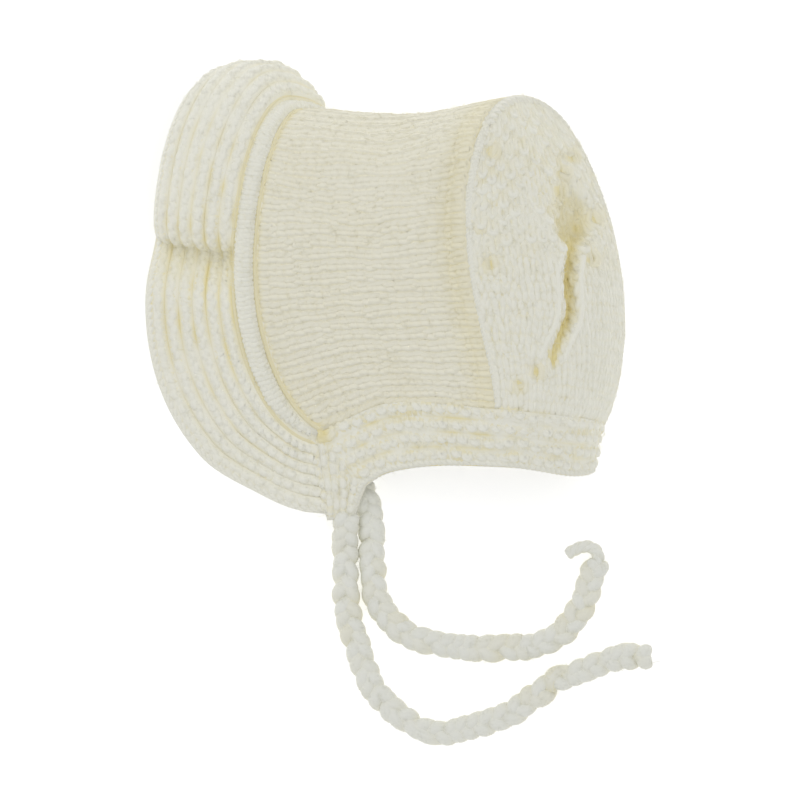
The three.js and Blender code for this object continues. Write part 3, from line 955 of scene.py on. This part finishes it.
# %% Crown
CROWN_YARN = 1.36
CROWN_ROWS = 23
CROWN_STITCHES = 56
CROWN_FROM = 0.06
CROWN_BACKING = 1.8
CROWN_GRID = (90, 40)
CROWN_FIBRES = 4200
GROOVE = {"depth": 0.5, "reach": 0.018}
VALLEY_SHADE = {"depth": 0.22, "along": 0.95, "reach": 0.08}
NECK_EDGE_SHADE = {"depth": 0.12, "reach": 0.008}
WAVER = {"stitches": 0.16, "along": 1.7, "around": 7.0}


def crown_backing_surface(u, v):
    return ring_points(np.clip(v, 0, 1), 2 * np.clip(u, 0, 1))


def crown_surface(u, v):
    wave = np.sin(2 * math.pi * (WAVER["along"] * v + WAVER["around"] * u)) * np.sin(math.pi * u)
    return crown_backing_surface(u + WAVER["stitches"] / CROWN_STITCHES * wave, mix(CROWN_FROM, 1, v))


# Painted shade in the welt's groove, in the valley before the back seam and along the neck edge.
def crown_shade(u, v):
    groove = GROOVE["depth"] * np.exp(-((v / GROOVE["reach"]) ** 2))
    valley = VALLEY_SHADE["depth"] * np.exp(-(((v - VALLEY_SHADE["along"]) / VALLEY_SHADE["reach"]) ** 2))
    neck_line = NECK_EDGE_SHADE["depth"] * np.exp(-((u / NECK_EDGE_SHADE["reach"]) ** 2))
    return np.clip(1 - groove - valley - neck_line, 0, 1)


crown_backing = backing(
    "crown_backing", crown_backing_surface, CROWN_GRID, crown_shade, yellowed_yarn, CROWN_BACKING
)
crown_loops = knit(crown_surface, CROWN_ROWS, CROWN_STITCHES, -1, UNEVEN["stocking"], crown_shade)
crown_yarn = lay_yarn("crown_stitches", crown_loops, CROWN_YARN, yellowed_yarn)
crown_fuzz = fuzz("crown_fuzz", crown_loops, CROWN_YARN, CROWN_FIBRES, yellowed_yarn)
cloth("crown", crown_backing, [crown_yarn, crown_fuzz])

# %% [markdown]
# The brim is garter stitch, the same on both faces: six ridges that run all the way round the face. Spread
# by the tables' own measure, the stitches would bunch up in one place and stretch in another. So they are
# spread evenly by length, and stay the same size where the brim fans out at the chin.

# %% Brim
BRIM_ROWS = 12
BRIM_STITCHES = 76
BRIM_YARN = 1.35
GARTER_BACKING = 1.9
BRIM_GRID = (240, 84)
BRIM_FIBRES = 3600
BRIM_FROM = 4.2
BRIM_TRIM = 1.7
SPREAD_AT = 0.7
SHADOW_TINT = 0.22
SHADOW_DROP = 7.4
OUTER_FADE = 0.2
# Painted shade in the brim's grooves between the ridges and in the groove beside the welt, listed around the
# face.
BRIM_GROOVE_SHADE = (
    "around tint beside_welt",
    (0, 0.35, 0.1),
    (0.06, 0.35, 0.2),
    (0.14, 0.3, 0.5),
    (0.3, 0.7, 0.6),
    (0.65, 0.5, 0.5),
    (0.8, 0.22, 0.4),
    (2, 0.15, 0.3),
)
read_brim_groove_shade = table_reader(BRIM_GROOVE_SHADE)
CHIN_BEADS = 0.5
CHIN_REACH = 0.12
brim_spread = even_spread(lambda u: brim_backing_surface(u, SPREAD_AT))
brim_blotches = blotches(BRIM_ROWS // 2)


def brim_surface(u, v):
    around = 2 * brim_spread(u)
    return brim_at(around, mix(BRIM_FROM, read_brim(around)["width"] - BRIM_TRIM, v))


def knit_share(u, v):
    width = read_brim(2 * u)["width"]
    return (width * v - BRIM_FROM) / (width - BRIM_TRIM - BRIM_FROM)


def brim_ridged(u, v):
    normal = surface_normal(brim_backing_surface, u, v)
    ridge = ridge_share(knit_share(u, v), BRIM_ROWS)
    return brim_backing_surface(u, v) + normal * (RIDGE_HEIGHT * ridge)[:, None]


def pleat_shade(around):
    return 1 - SHADOW_TINT * read_pleat(around)["drop"] / SHADOW_DROP


# The sheet gets painted shade where grooves show it, in random blotches, and the pleat's painted shadow.
def brim_backing_shade(u, v):
    groove = read_brim_groove_shade(2 * u)
    knitted = knit_share(u, v)
    blotchy = 2 * groove["tint"] * brim_blotches(u, knitted) * (1 - OUTER_FADE * knitted)
    tint = np.where(knitted < 0, groove["beside_welt"], np.where(knitted < 1, blotchy, 0))
    return (1 - tint * (1 - ridge_share(knitted, BRIM_ROWS))) * pleat_shade(2 * u)


def brim_shade(u, v):
    return pleat_shade(2 * brim_spread(u))


# Painted shade on the yarn in the grooves.
def brim_groove(u):
    return read_brim_groove_shade(2 * brim_spread(u))["tint"]


def chin_beads(u):
    return CHIN_BEADS * np.exp(-((u / CHIN_REACH) ** 2))


brim_backing = backing(
    "brim_backing", brim_ridged, BRIM_GRID, brim_backing_shade, brim_wool, GARTER_BACKING
)
brim_loops = knit(
    brim_surface, BRIM_ROWS, BRIM_STITCHES, 1, UNEVEN["garter"], brim_shade,
    groove=brim_groove, beaded=chin_beads,
)
brim_yarn = lay_yarn("brim_stitches", brim_loops, BRIM_YARN, brim_wool, FULL_SIDES)
brim_edge = lay_yarn("brim_edge", cast_on_edge(brim_surface, 1, BRIM_STITCHES, 1), EDGE_YARN, brim_wool)
brim_fuzz = fuzz("brim_fuzz", brim_loops, BRIM_YARN, BRIM_FIBRES, brim_wool)
cloth("brim", brim_backing, [brim_yarn, brim_edge, brim_fuzz])

# %% [markdown]
# The welt is a roll of the cloth itself, so its stitches run round a tube. A plain padded tube would have
# the shape alone. On each side of it lies the row of yarn that it is sewn down with, deep in a groove. It is
# the crown's yellowed yarn, and painted shade makes it more yellow still than the yarn around it.

# %% Welt
WELT_FROM = 0.0
WELT_TO = 1.93
WELT_TAPER = 0.05
WELT_TIP = 0.2
WELT_ROWS = 6
WELT_STITCHES = 78
WELT_CORE = 1.7
WELT_PROUD = 0.6
WELT_YARN = 1.15
WELT_BACKING = 1.9
WELT_GRID = (90, 12)
WELT_FIBRES = 900
GROOVE_YARN = {"radius": 0.95, "raised": 0.45, "depth": 0.5, "steps": 300}
GROOVE_ON_BRIM = 3.7
GROOVE_ON_CROWN = 0.052


def welt_surface(u, v):
    centre, along_welt, outward, forward = welt_frame(mix(WELT_FROM, WELT_TO, np.clip(u, 0, 1)))
    angle = math.pi + 2 * math.pi * np.asarray(v)[..., None]
    full = mix(WELT_TIP, 1, np.clip(u / WELT_TAPER, 0, 1))[..., None]
    upward = outward * (WELT_PROUD + WELT_CORE * np.cos(angle))
    sideways = forward * WELT_CORE * np.sin(angle)
    place = centre + full * (upward + sideways)
    place[..., 2] = np.maximum(place[..., 2], WELT_BACKING / 2)
    return place


welt_core = backing("welt_core", welt_surface, WELT_GRID, unshaded, cream_yarn, WELT_BACKING)
welt_loops = knit(welt_surface, WELT_ROWS, WELT_STITCHES, 1, UNEVEN["stocking"])
welt_yarn = lay_yarn("welt_stitches", welt_loops, WELT_YARN, cream_yarn, FULL_SIDES)
welt_line = mix(WELT_FROM, WELT_TO, np.linspace(0, 1, GROOVE_YARN["steps"]))
welt_up = welt_frame(welt_line)[2]
# The grooves' depth gives their yarns painted shade.
groove_depth = np.full(len(welt_line), GROOVE_YARN["depth"])
groove_lines = (brim_at(welt_line, GROOVE_ON_BRIM), ring_points(GROOVE_ON_CROWN, welt_line))
groove_strands = [(line + GROOVE_YARN["raised"] * welt_up, welt_up, groove_depth) for line in groove_lines]
welt_grooves = lay_yarn("welt_grooves", groove_strands, GROOVE_YARN["radius"], yellowed_yarn)
welt_fuzz = fuzz("welt_fuzz", welt_loops, WELT_YARN, WELT_FIBRES, cream_yarn)
for piece in (welt_core, welt_yarn, welt_grooves, welt_fuzz):
    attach(piece, "root")
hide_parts("welt")

# %% [markdown]
# The back panel starts at the top of the head in seed stitch and goes on to the neck in stocking stitch.
# Its edges are a raised cord, where it is sewn to the crown. The slit could be cut through the sheet, but on
# the real one it is a deep fold with wool at the bottom. So the sheet and its loops go down into it, painted
# shade turns the wool honey along the fold and deep honey in it, and two rolled lips are laid along its
# rims.

# %% Back panel
PANEL_ROWS = 34
PANEL_STITCHES = 17
PANEL_YARN = 1.22
PANEL_BACKING = 1.2
PANEL_GRID = (70, 50)
PANEL_FIBRES = 2200
PANEL_SUNK_SHADE = 0.32
SEEDED_UNTIL = 0.55
SEED_FADE = 0.12
TOP_SCALLOPS = 9
SCALLOP_TWIST = 0.8
LIPS = {"from": 0.46, "to": 0.82, "steps": 60, "apart": 0.07, "raised": 0.7, "radius": 0.95}


# Painted shade in the slit, in the hollow at its top and along the fold above.
def slit_shade(u, v):
    return read_slit_form(v)["tint"] * slit_share(u, v)


# The sheet gets painted shade in the slit and around the eyelets.
def panel_shade(u, v):
    return 1 - np.maximum(slit_shade(u, v), near_eyelet(panel_surface(u, v), EYELETS))


def panel_seeds(v):
    return np.clip((SEEDED_UNTIL - v) / SEED_FADE, 0, 1)


def panel_yarn_shade(u, v):
    return 1 - slit_shade(u, v)


panel_backing = backing(
    "panel_backing", panel_surface, PANEL_GRID, panel_shade, cream_yarn, PANEL_BACKING
)
panel_loops = knit(
    panel_surface, PANEL_ROWS, PANEL_STITCHES, -1, UNEVEN["seed"], panel_yarn_shade,
    sunk=PANEL_SUNK_SHADE, seeded=panel_seeds,
)
panel_yarn = lay_yarn("panel_stitches", panel_loops, PANEL_YARN, cream_yarn, FULL_SIDES)
panel_fuzz = fuzz("panel_fuzz", panel_loops, PANEL_YARN, PANEL_FIBRES, cream_yarn)


def panel_turned(u, v):
    return panel_surface(v, u)


def slit_lip(side):
    down = np.linspace(LIPS["from"], LIPS["to"], LIPS["steps"])
    across = read_slit(down)["across"] + side * LIPS["apart"]
    upright = np.broadcast_to(UP, (len(down), 3))
    return panel_surface(across, down) + UP * LIPS["raised"], upright, np.ones(len(down))


seam_loops = cast_on_edge(panel_turned, 0, PANEL_ROWS, 1) + cast_on_edge(panel_turned, 1, PANEL_ROWS, 1)
seam_loops += cast_on_edge(panel_surface, 0, TOP_SCALLOPS, -1, SCALLOP_TWIST)
panel_seams = lay_yarn("panel_seams", seam_loops, EDGE_YARN, cream_yarn)
slit_lips = lay_yarn("slit_lips", [slit_lip(-1), slit_lip(1)], LIPS["radius"], cream_yarn, BRAID_SIDES)
panel_trim = [panel_yarn, panel_seams, slit_lips, panel_fuzz]
cloth("back_panel", panel_backing, panel_trim)

# %% [markdown]
# The neckband is garter stitch, four ridges deep, with a cast-off edge. It was picked up with loose loops,
# so its ridges are rows of separate beads, with painted shade in random honey blotches between them.
# Ridges like the brim's would be too smooth here, so every second row of loops stays low and the loops are
# less even.

# %% Neckband
NECK_ROWS = 8
NECK_STITCHES = 52
NECK_YARN = 1.3
NECK_GRID = (180, 48)
NECK_FIBRES = 1800
NECK_FROM = -0.03
NECK_TO = 0.94
NECK_HOLLOW_SHADE = 0.5
NECK_RIDGE = 0.25
NECK_UNEVEN = 0.14
NECK_BEADS = 0.6
neck_blotches = blotches(NECK_ROWS // 2)
neck_spread = even_spread(lambda u: neckband_surface(u, SPREAD_AT))


def neckband_cloth(u, v):
    return neckband_surface(neck_spread(u), mix(NECK_FROM, NECK_TO, v))


def neck_ridge(v):
    return ridge_share((v - NECK_FROM) / (NECK_TO - NECK_FROM), NECK_ROWS)


def neckband_ridged(u, v):
    normal = -surface_normal(neckband_surface, u, v)
    return neckband_surface(u, v) + normal * (NECK_RIDGE * neck_ridge(v))[:, None]


# Painted shade on the yarn in the neckband's grooves.
def neck_groove(u):
    return NECK_HOLLOW_SHADE


# Painted shade in the pits between the beads and around the eyelets.
def neck_shade(u, v):
    pit = NECK_HOLLOW_SHADE * neck_blotches(u, v) ** 2 * (1 - neck_ridge(v))
    return np.clip(1 - pit, 0, 1) * (1 - near_eyelet(neckband_surface(u, v), EYELETS))


def neck_beads(u):
    return NECK_BEADS


neck_backing = backing(
    "neckband_backing", neckband_ridged, NECK_GRID, neck_shade, cream_yarn, GARTER_BACKING
)
neck_loops = knit(
    neckband_cloth, NECK_ROWS, NECK_STITCHES, -1, NECK_UNEVEN, groove=neck_groove, beaded=neck_beads
)
neck_yarn = lay_yarn("neckband_stitches", neck_loops, NECK_YARN, cream_yarn, FULL_SIDES)
neck_edge_loops = cast_on_edge(neckband_cloth, 1, NECK_STITCHES, -1)
neck_edge = lay_yarn("neckband_edge", neck_edge_loops, EDGE_YARN, cream_yarn)
neck_fuzz = fuzz("neckband_fuzz", neck_loops, NECK_YARN, NECK_FIBRES, cream_yarn)
cloth("neckband", neck_backing, [neck_yarn, neck_edge, neck_fuzz])
